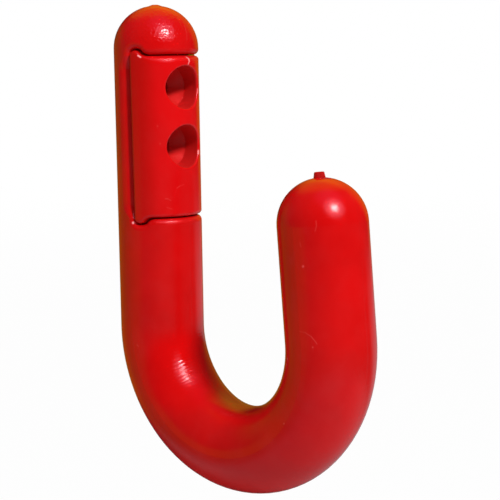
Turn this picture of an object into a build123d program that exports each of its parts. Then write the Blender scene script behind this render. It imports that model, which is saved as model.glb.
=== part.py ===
from build123d import *
from math import atan2
from math import cos
from math import degrees
from math import radians
from math import sin
from math import sqrt
from math import tan
import os

# Coat hook: one round rod bent into a deep J, with a screw block let into its stem.
# Millimetres, +Z up. The wall is the plane y = 0 and the hook stands in front of it,
# towards -Y. The origin lies on the wall, midway between the two screws.

# Rod
rod_diameter = 20.0
bend_radius = 26.4
stem_length = 66.0
arm_length = 25.5
arm_lean = 4.5
wall_to_axis = 8.5

# Gate marks left by moulding
nub_diameter = 2.2
nub_height = 1.2
nub_taper = 10.0
nub_round = 0.3
gate_diameter = 1.4
gate_height = 0.2
gate_taper = 70.0
gate_round = 0.3

# Recess across the front half of the stem, with undercuts for the block's flange.
# Its seat leans a little, so that the block stands further forward at its foot.
recess_above_screw = 7.55
recess_length = 38.0
seat_forward = 1.0
seat_lean = 0.5
undercut_width = 3.0
shoulder_round = 2.3
rim_round = 1.3
flank_round = 3.0
flank_runout = 3.2
runout_steps = 3

# Screw block
end_clearance = 0.3
flange_clearance = 0.2
block_round = 0.9

# Screws
screw_spacing = 13.7
dome_above_screw = 9.15
head_diameter = 10.0
head_depth = 5.9
countersink_angle = 90.0
mouth_round = 0.4
screw_hole_diameter = 4.5

# How far a cutting shape reaches past what it cuts, how deep it bites into a surface that it
# would otherwise only touch, and the tolerance to which edges are told apart
reach = 0.3
bite = 0.02
tolerance = 0.001

rod_radius = rod_diameter / 2
head_radius = head_diameter / 2
stem_y = -wall_to_axis
front_y = stem_y - rod_radius
stem_top = screw_spacing / 2 + dome_above_screw
bend_level = stem_top - stem_length
recess_top = screw_spacing / 2 + recess_above_screw
recess_middle = recess_top - recess_length / 2

# The recess's own plane, seen from the side: x forwards from the rod's axis, y upwards
lean = radians(seat_lean)
side_plane = Plane(
    origin=(0, stem_y, recess_middle),
    x_dir=(0, -cos(lean), sin(lean)),
    z_dir=(-1, 0, 0),
)
UP = Vector(0, 0, 1)

# Where the screws go in: a plane that touches the stem in front
front = Plane((0, front_y, 0), x_dir=(1, 0, 0), z_dir=(0, -1, 0))


def t_profile(end_gap, front_gap):
    """The recess from the side: an opening to the front, and behind it a slot whose round
    ends are centred on the opening's end walls."""
    length = recess_length - 2 * end_gap
    width = undercut_width - front_gap
    with BuildSketch(side_plane) as profile:
        with Locations((seat_forward, 0)):
            Rectangle(rod_diameter, length, align=(Align.MIN, Align.CENTER))
        with Locations((seat_forward + width / 2, 0)):
            SlotOverall(length + width, width, rotation=90)
        inner = profile.vertices().filter_by(
            lambda v: 0 < side_plane.to_local_coords(v).X - seat_forward - width / 2 < width
        )
        fillet(inner, shoulder_round)
    return profile.sketch


def flank_section(height, radius):
    """What is cut off the corner between the seat and the rod's side, at one height."""
    axis_forward = height * sin(lean)
    centre_forward = seat_forward - radius + bite
    centre_side = sqrt((rod_radius - radius + bite) ** 2 - (centre_forward - axis_forward) ** 2)
    outwards = degrees(atan2(axis_forward - centre_forward, centre_side))
    level = Plane(
        origin=side_plane.from_local_coords((0, height, 0)),
        x_dir=(1, 0, 0),
        z_dir=side_plane.y_dir,
    )
    with BuildSketch(level) as section:
        with BuildLine():
            corner = CenterArc((centre_side, -centre_forward), radius, -90, 90 + outwards)
            clear = corner @ 1 + (corner @ 1 - Vector(centre_side, -centre_forward)) / 2
            Polyline(
                corner @ 1,
                clear,
                (rod_diameter, -seat_forward - reach),
                (centre_side, -seat_forward - reach),
                corner @ 0,
            )
        make_face()
    return section.sketch


def end_outline(middle, outwards, mark_diameter, mark_height, mark_taper, mark_round):
    """Half the outline of a domed end, whose apex carries a gate mark: a short cone with a
    rounded edge. Its plane has x across the rod and y along it, out of the end."""
    side = Vector(1, 0, 0)
    apex = rod_radius + mark_height
    root = mark_diameter / 2 + 2 * mark_height * tan(radians(mark_taper))
    with BuildSketch(Plane(middle, x_dir=side, z_dir=side.cross(outwards))) as outline:
        with Locations((0, apex)):
            Polygon(
                (0, 0),
                (mark_diameter / 2, 0),
                (root, -2 * mark_height),
                (0, -2 * mark_height),
                align=None,
            )
        fillet(outline.vertices().sort_by_distance((mark_diameter / 2, apex))[0], mark_round)
        Circle(rod_radius)
        Rectangle(
            rod_radius, apex, align=(Align.MIN, Align.MIN), mode=Mode.INTERSECT
        )
    return outline.sketch


def on_rod_front(edge):
    """Whether an edge lies on the stem's round side, in front of its axis."""
    points = [edge @ share for share in (0, 0.25, 0.5, 0.75, 1)]
    return all(
        abs(sqrt(p.X**2 + (p.Y - stem_y) ** 2) - rod_radius) < tolerance
        and p.Y < stem_y - tolerance
        for p in points
    )


recess_shape = t_profile(0, 0)
block_shape = t_profile(end_clearance, flange_clearance)

# The flank's rounding has its full radius along the seat, and dies away into the rim at each end
half_opening = recess_length / 2
half_flank = half_opening - flank_runout
runout = []
for step in range(runout_steps + 1):
    share = step / runout_steps
    radius = rim_round + (flank_round - rim_round) * sin(radians(90 * share))
    runout.append((half_opening - flank_runout * share, radius))

with BuildPart() as flank_cutter:
    loft([flank_section(-half_flank, flank_round), flank_section(half_flank, flank_round)])
    loft([flank_section(height, radius) for height, radius in runout])
    loft([flank_section(-height, radius) for height, radius in runout])
    mirror(about=Plane.YZ)

with BuildPart() as hook_body:
    with BuildLine(Plane.YZ):
        stem = Line((stem_y, stem_top), (stem_y, bend_level))
        bend = CenterArc((stem_y - bend_radius, bend_level), bend_radius, 0, -180 - arm_lean)
        arm = Line(bend @ 1, bend @ 1 + (bend % 1) * arm_length)
    with BuildSketch(Plane(stem @ 0, z_dir=-UP)):
        Circle(rod_radius)
    sweep()

    # Domed ends, each turned in one with the gate mark on it: a low point on the stem's
    # dome, and a nub left standing on the arm's
    add(end_outline(stem @ 0, UP, gate_diameter, gate_height, gate_taper, gate_round))
    revolve(axis=Axis(stem @ 0, UP))
    add(end_outline(arm @ 1, arm % 1, nub_diameter, nub_height, nub_taper, nub_round))
    revolve(axis=Axis(arm @ 1, arm % 1))

    # The recess, with its rim rounded
    extrude(recess_shape, amount=rod_diameter, both=True, mode=Mode.SUBTRACT)
    rim = hook_body.edges().filter_by(on_rod_front)
    rim = rim.filter_by_position(Axis.Z, bend_level + tolerance, stem_top - tolerance)
    fillet(rim, rim_round)
    add(flank_cutter.part, mode=Mode.SUBTRACT)

    # Flat back for the wall, and the screws' way through
    with BuildSketch(Plane.XZ):
        Rectangle(rod_diameter, 2 * (stem_length + bend_radius))
    extrude(amount=-rod_diameter, mode=Mode.SUBTRACT)
    with Locations(front):
        with GridLocations(1, screw_spacing, 1, 2):
            Hole(screw_hole_diameter / 2, depth=rod_diameter)

with BuildPart() as screw_block:
    extrude(block_shape, amount=rod_diameter, both=True)
    with BuildSketch(Plane((0, stem_y, bend_level))):
        Circle(rod_radius)
    extrude(amount=stem_length, mode=Mode.INTERSECT)
    fillet(screw_block.edges().filter_by(on_rod_front), block_round)

    # Screw holes: a deep counterbore for the head, and a countersink below it
    with Locations(front):
        with GridLocations(1, screw_spacing, 1, 2):
            Hole(head_radius, depth=head_depth)
    with Locations(front.offset(-head_depth)):
        with GridLocations(1, screw_spacing, 1, 2):
            CounterSinkHole(
                screw_hole_diameter / 2, head_radius, counter_sink_angle=countersink_angle
            )
    mouths = screw_block.edges().filter_by(on_rod_front).filter_by(lambda edge: edge.is_closed)
    fillet(mouths, mouth_round)

os.makedirs("parts", exist_ok=True)
hook_body.part.label = "hook_body"
export_step(hook_body.part, "parts/hook_body.step")
screw_block.part.label = "screw_block"
export_step(screw_block.part, "parts/screw_block.step")
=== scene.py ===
import math

import bpy
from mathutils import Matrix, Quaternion, Vector


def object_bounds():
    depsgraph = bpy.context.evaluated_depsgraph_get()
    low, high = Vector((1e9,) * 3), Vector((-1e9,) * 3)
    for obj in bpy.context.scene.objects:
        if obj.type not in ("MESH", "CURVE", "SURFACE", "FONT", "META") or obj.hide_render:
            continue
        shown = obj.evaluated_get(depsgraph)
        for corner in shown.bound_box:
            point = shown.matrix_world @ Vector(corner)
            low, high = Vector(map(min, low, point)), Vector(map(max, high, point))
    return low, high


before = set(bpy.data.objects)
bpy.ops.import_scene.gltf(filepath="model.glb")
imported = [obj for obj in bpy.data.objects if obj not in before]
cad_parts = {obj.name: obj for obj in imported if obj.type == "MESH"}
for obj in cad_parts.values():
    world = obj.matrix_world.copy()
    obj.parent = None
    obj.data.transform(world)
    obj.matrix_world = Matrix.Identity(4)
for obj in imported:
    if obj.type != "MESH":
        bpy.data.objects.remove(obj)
cad_low, cad_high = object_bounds()

MM = 0.001

# The hook in millimetres, as its solids have it: wall at y = 0, hook towards -Y, origin
# between the screws
BEND_RADIUS = 26.4
BEND_CENTRE = (0, -34.9, -50.0)
NUB_PLACE = (0, -60.1, -11.8)
SCREW_HEIGHT = 6.85
HEAD_RADIUS = 5.0
BLOCK_TOP = 14.1
RECESS_TOP = 14.4
RECESS_FOOT = -23.6

# Camera, at the photograph's viewing angle
CAMERA_PLACE = Vector((-228.98, -249.49, 10.17)) * MM
CAMERA_AZIMUTH = -47.24
CAMERA_ELEVATION = 7.315
CAMERA_ROLL = -0.9
LENS = 99.89
SENSOR = 36.0
NEAREST_SEEN = 0.01
PHOTO_SIZE = 500

# Colours of the plastic, linear
RED_MOULDING = (0.57, 0.0024, 0.0028, 1)
RED_MOULDING_DEEP = (0.50, 0.0020, 0.0022, 1)
RED_BLOCK = (0.62, 0.0026, 0.0036, 1)
RED_BLOCK_DEEP = (0.56, 0.0022, 0.0030, 1)
# Painted light and shade in the screw holes: their colour is matched to how lit they look
RED_BORE_PAINTED_LIGHT = (0.52, 0.012, 0.011, 1)
# Painted shade on the block's left side
RED_BLOCK_SIDE_SHADE = (0.48, 0.003, 0.002, 1)
RED_NUB = (0.38, 0.003, 0.002, 1)
WORN_RED = (0.70, 0.06, 0.055, 1)
# Pale pink of the painted highlights on edges and corners
PAINTED_GLINT_PINK = (0.95, 0.36, 0.37, 1)

# Each FADE below gives the value at which a mask is gone, and the one at which it is full.
# Each BAND gives where a mask is gone, full, still full and gone again.

# Skin of both mouldings, in patterns per millimetre
PEEL_SCALE = 0.75
WAVE_SCALE = 0.16
CLOUD_SCALE = 0.07
CLOUD_FADE = (0.3, 0.7)
HAZE_SCALE = 0.22
HAZE_FADE = (0.42, 0.68)

# Parting line of the hook's mould: it fades out over its width to either side
PARTING_WIDTH = 0.16
PARTING_HEIGHT = 0.02
PARTING_WAVER = 0.08
WAVER_SCALE = 0.3

# Cutter ripples across the bend: deeper in the buffed spot than elsewhere
RIPPLE_PITCH = 1.25
RIPPLE_HEIGHT = 0.004
RIPPLE_HEIGHT_BUFFED = 0.017
RIPPLE_DRIFT = 1.6
DRIFT_SCALE = 0.25
PATCH_SCALE = 0.35
PATCH_FADE = (0.25, 0.5)
BEND_FADE = (3.0, -4.0)

# Buffed spot in the bend, by the distance from its middle, and the duller ring round it
BUFFED_PLACE = (-4.29, -20.43, -59.6)
BUFFED_FADE = (4.4, 1.6)
RIPPLED_FADE = (4.2, 2.0)
DULL_RING_BAND = (2.0, 4.6, 8.0, 12.0)

# Places on the hook's moulding
NUB_FADE = (2.0, 1.4)
DOME_FADE = (15.5, 18.5)
DENT_SCALE = 1.35
DENT_DEPTH = 0.10
UNDER_DOME_BAND = (RECESS_TOP - 3.0, RECESS_TOP - 0.5, RECESS_TOP + 1.0, RECESS_TOP + 1.7)
UNDER_DOME_FADE = (-8.5, -10.5)
BELOW_BLOCK_BAND = (RECESS_FOOT - 1.6, RECESS_FOOT - 1.0, RECESS_FOOT, RECESS_FOOT + 1.0)
STEM_FRONT_BAND = (-22.0, -20.0, -15.5, -13.0)

# Places on the block. Its top edge rolls over by bump, on top of the solid's own rounding.
BORE_FADE = (HEAD_RADIUS + 0.15, HEAD_RADIUS - 0.05)
# The block darkens towards its left side: painted shade
BLOCK_SIDE_SHADE_FADE = (-6.5, -9.6)
BLOCK_FRONT_FADE = (-13.0, -15.5)
BLOCK_EDGE_FADE = (BLOCK_TOP - 1.5, BLOCK_TOP - 0.8)
ROLL_WIDTH = 1.9
ROLL_HEIGHT = -0.55

# Gloss of the plastic
MOULDING_ROUGHNESS = 0.18
BLOCK_ROUGHNESS = 0.17
HAZE_ROUGHNESS = 0.06
NUB_ROUGHNESS = 0.8
BUFFED_ROUGHNESS = 0.23
BELOW_BLOCK_ROUGHNESS = 0.32
BORE_ROUGHNESS = 0.35
BLOCK_EDGE_ROUGHNESS = 0.38
PLASTIC_IOR = 1.5
GLOSS_LEVEL = 0.5
GLOSS_LOST = -0.35
WORN_HEIGHT = 0.03

# Floor: white to the camera, and a little less so near the hook
FLOOR_DROP = 90 * MM
FLOOR_SIZE = 8.0
FLOOR_COLOUR = (0.69, 0.69, 0.69, 1)
WHITE = (1, 1, 1, 1)
WHITENESS_NEAR = 0.965
WHITENESS_RANGE = (0.3, 2.0)

# Floor in the gloss, in metres from the place below the origin: a pale table between two
# slanting edges and round its near end, with a shade on it, and a carpet behind it
TABLE_IN_GLOSS = (0.42, 0.39, 0.41, 1)
TABLE_DIM_IN_GLOSS = (0.14, 0.09, 0.14, 1)
FLOOR_IN_GLOSS = (0.012, 0.008, 0.004, 1)
CARPET_IN_GLOSS = (0.30, 0.165, 0.006, 1)
SHADE_IN_GLOSS = (0.04, 0.03, 0.03, 1)
CARPET_FADE = (0.05, 0.35)
BACK_EDGE = (-0.3, 1, 0)
BACK_EDGE_FADE = (0.11, 0.0)
FRONT_EDGE = (-0.5, -1, 0)
FRONT_EDGE_FADE = (0.10, -0.15)
RIGHT_END_FADE = (2.0, 0.8)
TABLE_NEAR = (-0.05, -0.14, 0)
TABLE_NEAR_FADE = (0.36, 0.20)
TABLE_LIT_SIDE = (0.8, 0.5, 0)
TABLE_LIT_FADE = (-0.2, 0.1)
SHADE_MIDDLE = (0.08, 0.13, 0)
SHADE_ALONG = (3.0, 5.2, 0)
SHADE_ACROSS = (8.6, -5.0, 0)
SHADE_FADE = (1.6, 0.3)

# Room light on the object: from behind and above, with little from the front
FRONT_LIGHT = (0.02, 0.02, 0.02, 1)
BACK_LIGHT = (0.73, 0.73, 0.73, 1)
BACK_DIRECTION = (150, 30)

# What the gloss shows of the room, in round patches: azimuth, elevation, full within and
# gone at (all in degrees), and colour
ROOM_DARK = (0.008, 0.006, 0.005, 1)
ROOM_PATCHES = (
    (-12, 42, 5.0, 7.5, (46, 40, 40, 1)),
    (-12, 42, 6, 28, (2.7, 2.3, 3.0, 1)),
    (-10, 68, 8, 36, (0.30, 0.11, 0.30, 1)),
    (112, 22, 24, 36, (0.36, 0.22, 0.008, 1)),
    (138, 56, 14, 38, (0.56, 0.37, 0.004, 1)),
    (-176, -4, 16, 38, (0.17, 0.135, 0.003, 1)),
)

# Scratches and specks, by the pixels of the photograph where each one starts and ends, with
# how far it fades out to either side, in millimetres, and its strength
BODY_MARKS = (
    ((302.7, 265.8), (302.4, 266.1), 0.42, 1.0),
    ((312.2, 346.7), (312.3, 347.0), 0.30, 0.6),
    ((283.5, 423.1), (283.4, 423.3), 0.32, 0.7),
    ((136.5, 344.5), (137.9, 345.8), 0.30, 0.3),
    ((299.0, 331.0), (304.5, 332.0), 0.20, 0.25),
    ((304.5, 332.0), (310.5, 336.0), 0.20, 0.4),
    ((310.5, 336.0), (314.0, 340.0), 0.20, 0.5),
    ((314.0, 340.0), (316.5, 343.5), 0.20, 0.45),
    ((315.5, 220.5), (316.0, 225.5), 0.22, 0.3),
    ((316.0, 225.5), (314.5, 230.5), 0.22, 0.25),
    ((299.5, 242.5), (300.5, 246.5), 0.25, 0.2),
    ((184.0, 25.5), (186.0, 32.5), 0.25, 0.25),
    ((186.0, 32.5), (186.5, 39.5), 0.25, 0.2),
)
BLOCK_MARKS = (
    ((176.5, 187.5), (179.5, 185.5), 0.20, 0.35),
    ((179.5, 185.5), (183.5, 184.0), 0.20, 0.2),
    ((165.0, 198.2), (167.5, 198.3), 0.22, 0.4),
    ((167.5, 198.3), (170.5, 200.1), 0.20, 0.25),
    ((166.5, 207.0), (171.5, 208.5), 0.22, 0.25),
    ((156.9, 125.5), (157.1, 125.8), 0.35, 0.3),
    ((159.5, 143.0), (159.6, 143.4), 0.35, 0.3),
)

# Painted highlights: pale glints of the lamp on edges and corners, given in the same way
BODY_PAINTED_GLINTS = (
    ((132.5, 222.2), (132.6, 222.5), 0.42, 1.0),
)
BLOCK_PAINTED_GLINTS = (
    ((137.6, 55.1), (139.9, 56.6), 0.32, 1.0),
    ((185.8, 56.6), (188.2, 58.4), 0.26, 0.7),
    ((188.2, 58.4), (188.8, 60.6), 0.30, 0.9),
    ((188.8, 60.6), (187.8, 63.6), 0.26, 0.6),
    ((197.1, 88.3), (197.1, 92.6), 0.26, 0.4),
    ((198.0, 150.2), (198.1, 153.2), 0.32, 0.8),
)


def direction(azimuth, elevation):
    """Unit vector from the object towards a place round it; azimuth 0 is the front, -Y."""
    a, e = math.radians(azimuth), math.radians(elevation)
    return Vector((math.sin(a) * math.cos(e), -math.cos(a) * math.cos(e), math.sin(e)))


def camera_turn():
    level = direction(CAMERA_AZIMUTH, CAMERA_ELEVATION).to_track_quat("Z", "Y")
    return level @ Quaternion((0, 0, 1), math.radians(CAMERA_ROLL))


def shown_at(pixel):
    """The place on the hook, in millimetres, that a pixel of the photograph shows."""
    across, down = pixel
    middle = (PHOTO_SIZE - 1) / 2
    step = SENSOR / PHOTO_SIZE
    ray = camera_turn() @ Vector(((across - middle) * step, (middle - down) * step, -LENS))
    graph = bpy.context.evaluated_depsgraph_get()
    return bpy.context.scene.ray_cast(graph, CAMERA_PLACE, ray)[1] / MM


def new_material(name):
    material = bpy.data.materials.new(name)
    material.use_nodes = True
    material.node_tree.nodes.clear()
    return material, material.node_tree


def new_group(name, inputs, outputs):
    """An empty shader node group; inputs are (name, kind, default), outputs (name, kind)."""
    group = bpy.data.node_groups.new(name, "ShaderNodeTree")
    for label, kind, default in inputs:
        socket = group.interface.new_socket(label, in_out="INPUT", socket_type=kind)
        if default is not None:
            socket.default_value = default
    for label, kind in outputs:
        group.interface.new_socket(label, in_out="OUTPUT", socket_type=kind)
    return group, group.nodes.new("NodeGroupInput").outputs


def put_out(group, **values):
    """Ends a group: links a socket to each of its outputs."""
    result = group.nodes.new("NodeGroupOutput")
    for label, value in values.items():
        group.links.new(value, result.inputs[label])


def use_group(tree, group, place, **values):
    """Places a group in a tree with its own values; gives back the group's outputs."""
    node = tree.nodes.new("ShaderNodeGroup")
    node.node_tree = group
    tree.links.new(place, node.inputs["Place"])
    for label, value in values.items():
        set_input(tree, node.inputs[label.replace("_", " ")], value)
    return node.outputs


def set_input(tree, socket, value):
    """Links a socket to another, or gives it a plain value."""
    if isinstance(value, bpy.types.NodeSocket):
        tree.links.new(value, socket)
    else:
        socket.default_value = value


def maths(tree, operation, *values, clamp=False):
    node = tree.nodes.new("ShaderNodeMath")
    node.operation = operation
    node.use_clamp = clamp
    for socket, value in zip(node.inputs, values):
        set_input(tree, socket, value)
    return node.outputs[0]


def combine(tree, operation, first, *others):
    """Works through its values in their order, two at a time."""
    total = first
    for value in others:
        total = maths(tree, operation, total, value)
    return total


def squared(tree, value):
    return maths(tree, "MULTIPLY", value, value)


def vector_maths(tree, operation, *values, output="Vector"):
    node = tree.nodes.new("ShaderNodeVectorMath")
    node.operation = operation
    for socket, value in zip(node.inputs, values):
        set_input(tree, socket, value)
    return node.outputs[output]


def scale_vector(tree, vector, factor):
    node = tree.nodes.new("ShaderNodeVectorMath")
    node.operation = "SCALE"
    set_input(tree, node.inputs[0], vector)
    set_input(tree, node.inputs["Scale"], factor)
    return node.outputs["Vector"]


def dot(tree, place, towards):
    return vector_maths(tree, "DOT_PRODUCT", place, towards, output="Value")


def distance_to(tree, place, centre):
    offset = vector_maths(tree, "SUBTRACT", place, centre)
    return vector_maths(tree, "LENGTH", offset, output="Value")


def axes(tree, place):
    """The coordinates of a place, as sockets by the names X, Y and Z."""
    split = tree.nodes.new("ShaderNodeSeparateXYZ")
    tree.links.new(place, split.inputs[0])
    return split.outputs


def place_in_mm(tree):
    place = tree.nodes.new("ShaderNodeTexCoord").outputs["Object"]
    return scale_vector(tree, place, 1 / MM)


def ramp(tree, value, start, end, low=0.0, high=1.0):
    """A smooth step between two values of a socket."""
    node = tree.nodes.new("ShaderNodeMapRange")
    node.interpolation_type = "SMOOTHSTEP"
    for label, number in zip(
        ("Value", "From Min", "From Max", "To Min", "To Max"), (value, start, end, low, high)
    ):
        set_input(tree, node.inputs[label], number)
    return node.outputs["Result"]


def band(tree, value, gone_below, full_from, full_to, gone_above):
    """A mask that is full between two values and fades out beside them."""
    return maths(
        tree,
        "MULTIPLY",
        ramp(tree, value, gone_below, full_from),
        ramp(tree, value, gone_above, full_to),
    )


def noise(tree, place, scale, detail=2.0, roughness=0.5):
    node = tree.nodes.new("ShaderNodeTexNoise")
    set_input(tree, node.inputs["Vector"], place)
    node.inputs["Scale"].default_value = scale
    node.inputs["Detail"].default_value = detail
    node.inputs["Roughness"].default_value = roughness
    return node.outputs["Fac"]


def mix_colours(tree, factor, low, high, blend="MIX"):
    """A Mix node between two colours or colour sockets; gives back its colour output."""
    mix = tree.nodes.new("ShaderNodeMix")
    mix.data_type = "RGBA"
    mix.blend_type = blend
    set_input(tree, mix.inputs["Factor"], factor)
    colours = [socket for socket in mix.inputs if socket.type == "RGBA"]
    for socket, colour in zip(colours, (low, high)):
        set_input(tree, socket, colour)
    return next(socket for socket in mix.outputs if socket.type == "RGBA")


def emission(tree, colour):
    node = tree.nodes.new("ShaderNodeEmission")
    set_input(tree, node.inputs["Color"], colour)
    return node.outputs[0]


def mix_shaders(tree, factor, first, second):
    mix = tree.nodes.new("ShaderNodeMixShader")
    for socket, value in zip(mix.inputs, (factor, first, second)):
        tree.links.new(value, socket)
    return mix.outputs[0]


def make_moulded_skin():
    """Skin of a moulding: slow waves and orange peel as a height, and clouds and haze as
    masks. Place and height are in millimetres."""
    group, given = new_group(
        "moulded_skin",
        (
            ("Place", "NodeSocketVector", None),
            ("Peel Height", "NodeSocketFloat", 0.004),
            ("Wave Height", "NodeSocketFloat", 0.012),
        ),
        (("Height", "NodeSocketFloat"), ("Clouds", "NodeSocketFloat"), ("Haze", "NodeSocketFloat")),
    )
    place = given["Place"]
    peel = maths(group, "MULTIPLY", noise(group, place, PEEL_SCALE, detail=1.0), given["Peel Height"])
    wave = maths(group, "MULTIPLY", noise(group, place, WAVE_SCALE, detail=0.0), given["Wave Height"])
    clouds = noise(group, place, CLOUD_SCALE, detail=3.0)
    haze = noise(group, place, HAZE_SCALE, detail=4.0, roughness=0.65)
    put_out(
        group,
        Height=maths(group, "ADD", peel, wave),
        Clouds=ramp(group, clouds, *CLOUD_FADE),
        Haze=ramp(group, haze, *HAZE_FADE),
    )
    return group


def make_parting_line():
    """Fine ridge where the mould's halves met, in the plane x = 0."""
    group, given = new_group(
        "parting_line",
        (
            ("Place", "NodeSocketVector", None),
            ("Width", "NodeSocketFloat", PARTING_WIDTH),
            ("Height", "NodeSocketFloat", PARTING_HEIGHT),
        ),
        (("Height", "NodeSocketFloat"),),
    )
    drift = noise(group, given["Place"], WAVER_SCALE, detail=0.0)
    waver = maths(group, "MULTIPLY", drift, PARTING_WAVER)
    across = maths(group, "ADD", axes(group, given["Place"])["X"], waver)
    mask = ramp(group, maths(group, "ABSOLUTE", across), given["Width"], 0.0)
    put_out(group, Height=maths(group, "MULTIPLY", mask, given["Height"]))
    return group


def make_tooling_ripple():
    """Ripples across the bent rod, as the mould's cutter left them, fading in and out."""
    group, given = new_group(
        "tooling_ripple",
        (
            ("Place", "NodeSocketVector", None),
            ("Pitch", "NodeSocketFloat", RIPPLE_PITCH),
            ("Height", "NodeSocketFloat", RIPPLE_HEIGHT),
        ),
        (("Height", "NodeSocketFloat"),),
    )
    place = given["Place"]
    from_centre = axes(group, vector_maths(group, "SUBTRACT", place, BEND_CENTRE))
    turn = maths(group, "ARCTAN2", from_centre["Z"], from_centre["Y"])
    drift = noise(group, place, DRIFT_SCALE, detail=0.0)
    along = maths(
        group,
        "ADD",
        maths(group, "MULTIPLY", turn, BEND_RADIUS),
        maths(group, "MULTIPLY", drift, RIPPLE_DRIFT),
    )
    phase = maths(group, "DIVIDE", along, given["Pitch"])
    wave = maths(group, "SINE", maths(group, "MULTIPLY", phase, 2 * math.pi))
    on_bend = ramp(group, from_centre["Z"], *BEND_FADE)
    patchy = ramp(group, noise(group, place, PATCH_SCALE, detail=1.0), *PATCH_FADE)
    put_out(group, Height=combine(group, "MULTIPLY", wave, given["Height"], on_bend, patchy))
    return group


def make_line_mark():
    """Mask of a fine line from one point to another, for wear marks and for painted highlights; a
    speck is a short one.
    """
    group, given = new_group(
        "line_mark",
        (
            ("Place", "NodeSocketVector", None),
            ("Start", "NodeSocketVector", None),
            ("End", "NodeSocketVector", None),
            ("Width", "NodeSocketFloat", 0.1),
            ("Strength", "NodeSocketFloat", 1.0),
        ),
        (("Mask", "NodeSocketFloat"),),
    )
    from_start = vector_maths(group, "SUBTRACT", given["Place"], given["Start"])
    course = vector_maths(group, "SUBTRACT", given["End"], given["Start"])
    share = maths(
        group, "DIVIDE", dot(group, from_start, course), dot(group, course, course), clamp=True
    )
    off_course = distance_to(group, from_start, scale_vector(group, course, share))
    mask = ramp(group, off_course, given["Width"], 0.0)
    put_out(group, Mask=maths(group, "MULTIPLY", mask, given["Strength"]))
    return group


def line_marks(tree, line_mark, place, marks):
    """The masks of all the marks together; each mark is (start, end, width, strength)."""
    masks = []
    for start, end, width, strength in marks:
        mark = use_group(
            tree,
            line_mark,
            place,
            Start=shown_at(start),
            End=shown_at(end),
            Width=width,
            Strength=strength,
        )
        masks.append(mark["Mask"])
    return combine(tree, "MAXIMUM", *masks)


def roughness_of(tree, haze, plain, *places):
    """Roughness of a plastic that is a little hazy, and no smoother in each of its places,
    (mask, roughness), than that place says."""
    roughness = maths(tree, "MULTIPLY_ADD", haze, HAZE_ROUGHNESS, plain)
    least = [maths(tree, "MULTIPLY", mask, rough) for mask, rough in places]
    return combine(tree, "MAXIMUM", roughness, *least)


def gloss_plastic(tree, colour, roughness, height, duller):
    """Ends a material's tree: glossy plastic with its height in millimetres as bump, less
    glossy where the mask duller says."""
    out = tree.nodes.new("ShaderNodeOutputMaterial")
    shader = tree.nodes.new("ShaderNodeBsdfPrincipled")
    bump = tree.nodes.new("ShaderNodeBump")
    bump.inputs["Distance"].default_value = MM
    shader.inputs["IOR"].default_value = PLASTIC_IOR
    level = maths(tree, "MULTIPLY_ADD", duller, GLOSS_LOST, GLOSS_LEVEL)
    tree.links.new(colour, shader.inputs["Base Color"])
    tree.links.new(roughness, shader.inputs["Roughness"])
    tree.links.new(level, shader.inputs["Specular IOR Level"])
    tree.links.new(height, bump.inputs["Height"])
    tree.links.new(bump.outputs["Normal"], shader.inputs["Normal"])
    tree.links.new(shader.outputs["BSDF"], out.inputs["Surface"])


def make_red_moulding(skin, line, ripple, line_mark):
    """The hook's own plastic: parting line, dents on the stem's dome, cutter ripples and a
    buffed spot in the bend, duller places above and below the block, and a darker, rougher
    nub where the gate was snapped off. A painted highlight sits at a corner of the recess."""
    material, tree = new_material("red_moulding")
    place = place_in_mm(tree)
    at = axes(tree, place)

    off_buffed = distance_to(tree, place, BUFFED_PLACE)
    buffed = ramp(tree, off_buffed, *BUFFED_FADE)
    dull_ring = band(tree, off_buffed, *DULL_RING_BAND)
    nub = ramp(tree, distance_to(tree, place, NUB_PLACE), *NUB_FADE)
    on_dome = ramp(tree, at["Z"], *DOME_FADE)
    under_dome = maths(
        tree,
        "MULTIPLY",
        band(tree, at["Z"], *UNDER_DOME_BAND),
        ramp(tree, at["Y"], *UNDER_DOME_FADE),
    )
    below_block = maths(
        tree,
        "MULTIPLY",
        band(tree, at["Z"], *BELOW_BLOCK_BAND),
        band(tree, at["Y"], *STEM_FRONT_BAND),
    )

    moulded = use_group(tree, skin, place, Peel_Height=0.006, Wave_Height=0.012)
    parting = use_group(tree, line, place)
    ripple_height = ramp(tree, off_buffed, *RIPPLED_FADE, RIPPLE_HEIGHT, RIPPLE_HEIGHT_BUFFED)
    rippled = use_group(tree, ripple, place, Height=ripple_height)
    worn = line_marks(tree, line_mark, place, BODY_MARKS)
    painted_glint = line_marks(tree, line_mark, place, BODY_PAINTED_GLINTS)

    colour = mix_colours(tree, moulded["Clouds"], RED_MOULDING, RED_MOULDING_DEEP)
    colour = mix_colours(tree, nub, colour, RED_NUB)
    colour = mix_colours(tree, worn, colour, WORN_RED)
    # Painted highlight: a glint at the recess's lower corner
    colour = mix_colours(tree, painted_glint, colour, PAINTED_GLINT_PINK)
    roughness = roughness_of(
        tree,
        moulded["Haze"],
        MOULDING_ROUGHNESS,
        (nub, NUB_ROUGHNESS),
        (buffed, BUFFED_ROUGHNESS),
        (below_block, BELOW_BLOCK_ROUGHNESS),
    )
    dents = combine(
        tree, "MULTIPLY", noise(tree, place, DENT_SCALE, detail=1.0), DENT_DEPTH, on_dome
    )
    height = combine(
        tree,
        "ADD",
        moulded["Height"],
        parting["Height"],
        rippled["Height"],
        dents,
        maths(tree, "MULTIPLY", worn, WORN_HEIGHT),
    )
    gloss_plastic(tree, colour, roughness, height, maths(tree, "MAXIMUM", under_dome, dull_ring))
    return material


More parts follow.
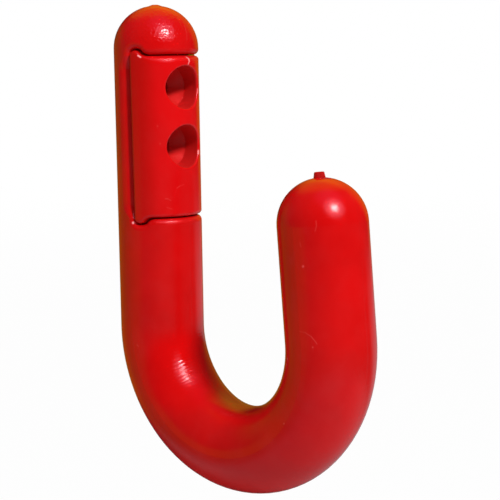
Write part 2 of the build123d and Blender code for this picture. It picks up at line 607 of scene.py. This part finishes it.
def make_red_block(skin, line_mark):
    """The screw block's plastic: a little brighter, scuffed below its lower screw, with painted
    shade on its left side, painted light in its screw holes and painted highlights on a few
    edges, and duller in its screw holes and along its top edge."""
    material, tree = new_material("red_block")
    place = place_in_mm(tree)
    at = axes(tree, place)

    from_screw = maths(tree, "SUBTRACT", maths(tree, "ABSOLUTE", at["Z"]), SCREW_HEIGHT)
    from_axis = maths(
        tree, "SQRT", maths(tree, "ADD", squared(tree, at["X"]), squared(tree, from_screw))
    )
    bore = ramp(tree, from_axis, *BORE_FADE)
    left_side_shade = ramp(tree, at["X"], *BLOCK_SIDE_SHADE_FADE)
    in_front = ramp(tree, at["Y"], *BLOCK_FRONT_FADE)
    top_edge = maths(tree, "MULTIPLY", ramp(tree, at["Z"], *BLOCK_EDGE_FADE), in_front)

    moulded = use_group(tree, skin, place, Peel_Height=0.005, Wave_Height=0.010)
    worn = line_marks(tree, line_mark, place, BLOCK_MARKS)
    painted_glint = line_marks(tree, line_mark, place, BLOCK_PAINTED_GLINTS)

    colour = mix_colours(tree, moulded["Clouds"], RED_BLOCK, RED_BLOCK_DEEP)
    # Painted shade: darker towards the block's left side
    colour = mix_colours(tree, left_side_shade, colour, RED_BLOCK_SIDE_SHADE)
    # Painted light and shade inside the screw holes
    colour = mix_colours(tree, bore, colour, RED_BORE_PAINTED_LIGHT)
    colour = mix_colours(tree, worn, colour, WORN_RED)
    # Painted highlights: glints on the block's corner and on its hole rims
    colour = mix_colours(tree, painted_glint, colour, PAINTED_GLINT_PINK)
    roughness = roughness_of(
        tree,
        moulded["Haze"],
        BLOCK_ROUGHNESS,
        (bore, BORE_ROUGHNESS),
        (top_edge, BLOCK_EDGE_ROUGHNESS),
    )
    above_roll = maths(tree, "SUBTRACT", at["Z"], BLOCK_TOP - ROLL_WIDTH)
    roll = squared(tree, maths(tree, "DIVIDE", above_roll, ROLL_WIDTH, clamp=True))
    height = combine(
        tree,
        "ADD",
        moulded["Height"],
        maths(tree, "MULTIPLY", worn, WORN_HEIGHT),
        combine(tree, "MULTIPLY", roll, ROLL_HEIGHT, in_front),
    )
    gloss_plastic(tree, colour, roughness, height, bore)
    return material


def dress(node, material):
    """Gives a solid's own mesh a material."""
    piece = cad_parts[node]
    piece.data.materials.clear()
    piece.data.materials.append(material)


def floor_in_gloss(tree, place):
    """The floor's colour to glossy rays."""
    at = axes(tree, place)
    carpet = ramp(tree, at["Y"], *CARPET_FADE)
    between_edges = combine(
        tree,
        "MULTIPLY",
        ramp(tree, dot(tree, place, BACK_EDGE), *BACK_EDGE_FADE),
        ramp(tree, dot(tree, place, FRONT_EDGE), *FRONT_EDGE_FADE),
        ramp(tree, at["X"], *RIGHT_END_FADE),
    )
    near_end = ramp(tree, distance_to(tree, place, TABLE_NEAR), *TABLE_NEAR_FADE)
    on_table = maths(tree, "MAXIMUM", between_edges, near_end)
    lit = ramp(tree, dot(tree, place, TABLE_LIT_SIDE), *TABLE_LIT_FADE)
    from_shade = vector_maths(tree, "SUBTRACT", place, SHADE_MIDDLE)
    shade = maths(
        tree,
        "ADD",
        squared(tree, dot(tree, from_shade, SHADE_ALONG)),
        squared(tree, dot(tree, from_shade, SHADE_ACROSS)),
    )
    beyond = mix_colours(tree, carpet, FLOOR_IN_GLOSS, CARPET_IN_GLOSS)
    table = mix_colours(tree, lit, TABLE_DIM_IN_GLOSS, TABLE_IN_GLOSS)
    shown = mix_colours(tree, on_table, beyond, table)
    return mix_colours(tree, ramp(tree, shade, *SHADE_FADE), shown, SHADE_IN_GLOSS)


def make_floor():
    """Plain white floor. In the hook's gloss it is a pale table on a dark floor, with an
    ochre carpet behind."""
    bpy.ops.mesh.primitive_plane_add(size=FLOOR_SIZE, location=(0, 0, cad_low.z - FLOOR_DROP))
    floor = bpy.context.object
    floor.name = "floor"
    material, tree = new_material("pale_floor")
    material.cycles.emission_sampling = "NONE"
    out = tree.nodes.new("ShaderNodeOutputMaterial")
    diffuse = tree.nodes.new("ShaderNodeBsdfDiffuse")
    diffuse.inputs["Color"].default_value = FLOOR_COLOUR
    rays = tree.nodes.new("ShaderNodeLightPath").outputs
    place = tree.nodes.new("ShaderNodeTexCoord").outputs["Object"]

    away = vector_maths(tree, "LENGTH", place, output="Value")
    whiteness = ramp(tree, away, *WHITENESS_RANGE, WHITENESS_NEAR, 1.0)
    whiteness = maths(tree, "MULTIPLY", whiteness, rays["Is Camera Ray"])
    seen = mix_shaders(tree, whiteness, diffuse.outputs[0], emission(tree, WHITE))
    reflected = emission(tree, floor_in_gloss(tree, place))
    surface = mix_shaders(tree, rays["Is Glossy Ray"], seen, reflected)
    tree.links.new(surface, out.inputs["Surface"])
    floor.data.materials.append(material)


def make_world():
    """White to the camera, plain room light on the object, and in its gloss a dark room
    with a lamp, a pale ceiling and an ochre wall."""
    world = bpy.data.worlds.new("studio")
    bpy.context.scene.world = world
    world.use_nodes = True
    world.cycles.sampling_method = "NONE"
    tree = world.node_tree
    tree.nodes.clear()
    out = tree.nodes.new("ShaderNodeOutputWorld")
    background = tree.nodes.new("ShaderNodeBackground")
    rays = tree.nodes.new("ShaderNodeLightPath").outputs
    ray = tree.nodes.new("ShaderNodeTexCoord").outputs["Generated"]

    room = ROOM_DARK
    for azimuth, elevation, inner, outer, colour in ROOM_PATCHES:
        towards = dot(tree, ray, direction(azimuth, elevation))
        patch = ramp(tree, towards, math.cos(math.radians(outer)), math.cos(math.radians(inner)))
        room = mix_colours(tree, patch, room, colour, "ADD")
    towards_back = dot(tree, ray, direction(*BACK_DIRECTION))
    light = mix_colours(tree, ramp(tree, towards_back, -1.0, 1.0), FRONT_LIGHT, BACK_LIGHT)
    lit = mix_colours(tree, rays["Is Glossy Ray"], light, room)
    seen = mix_colours(tree, rays["Is Camera Ray"], lit, WHITE)
    tree.links.new(seen, background.inputs["Color"])
    tree.links.new(background.outputs[0], out.inputs["Surface"])


def make_lamp(name, azimuth, elevation, distance, size, power):
    """A round soft lamp that lights the object; the room's own patches stand for it in
    the gloss."""
    lamp = bpy.data.lights.new(name, "AREA")
    lamp.shape = "DISK"
    lamp.size = size
    lamp.energy = power
    holder = bpy.data.objects.new(name, lamp)
    bpy.context.scene.collection.objects.link(holder)
    target = (cad_low + cad_high) / 2
    towards = direction(azimuth, elevation)
    holder.location = target + towards * distance
    holder.rotation_mode = "QUATERNION"
    holder.rotation_quaternion = towards.to_track_quat("Z", "Y")
    holder.visible_glossy = False


def make_camera():
    lens = bpy.data.cameras.new("camera")
    lens.lens = LENS
    lens.sensor_width = SENSOR
    lens.clip_start = NEAREST_SEEN
    camera = bpy.data.objects.new("camera", lens)
    bpy.context.scene.collection.objects.link(camera)
    camera.location = CAMERA_PLACE
    camera.rotation_mode = "QUATERNION"
    camera.rotation_quaternion = camera_turn()
    bpy.context.scene.camera = camera


moulded_skin = make_moulded_skin()
fine_line_mark = make_line_mark()
dress(
    "hook_body",
    make_red_moulding(moulded_skin, make_parting_line(), make_tooling_ripple(), fine_line_mark),
)
dress("screw_block", make_red_block(moulded_skin, fine_line_mark))
make_floor()
make_world()
make_lamp("key", azimuth=-14, elevation=42.5, distance=1.2, size=0.16, power=15.7)
make_camera()

bpy.context.scene.view_settings.view_transform = "Standard"
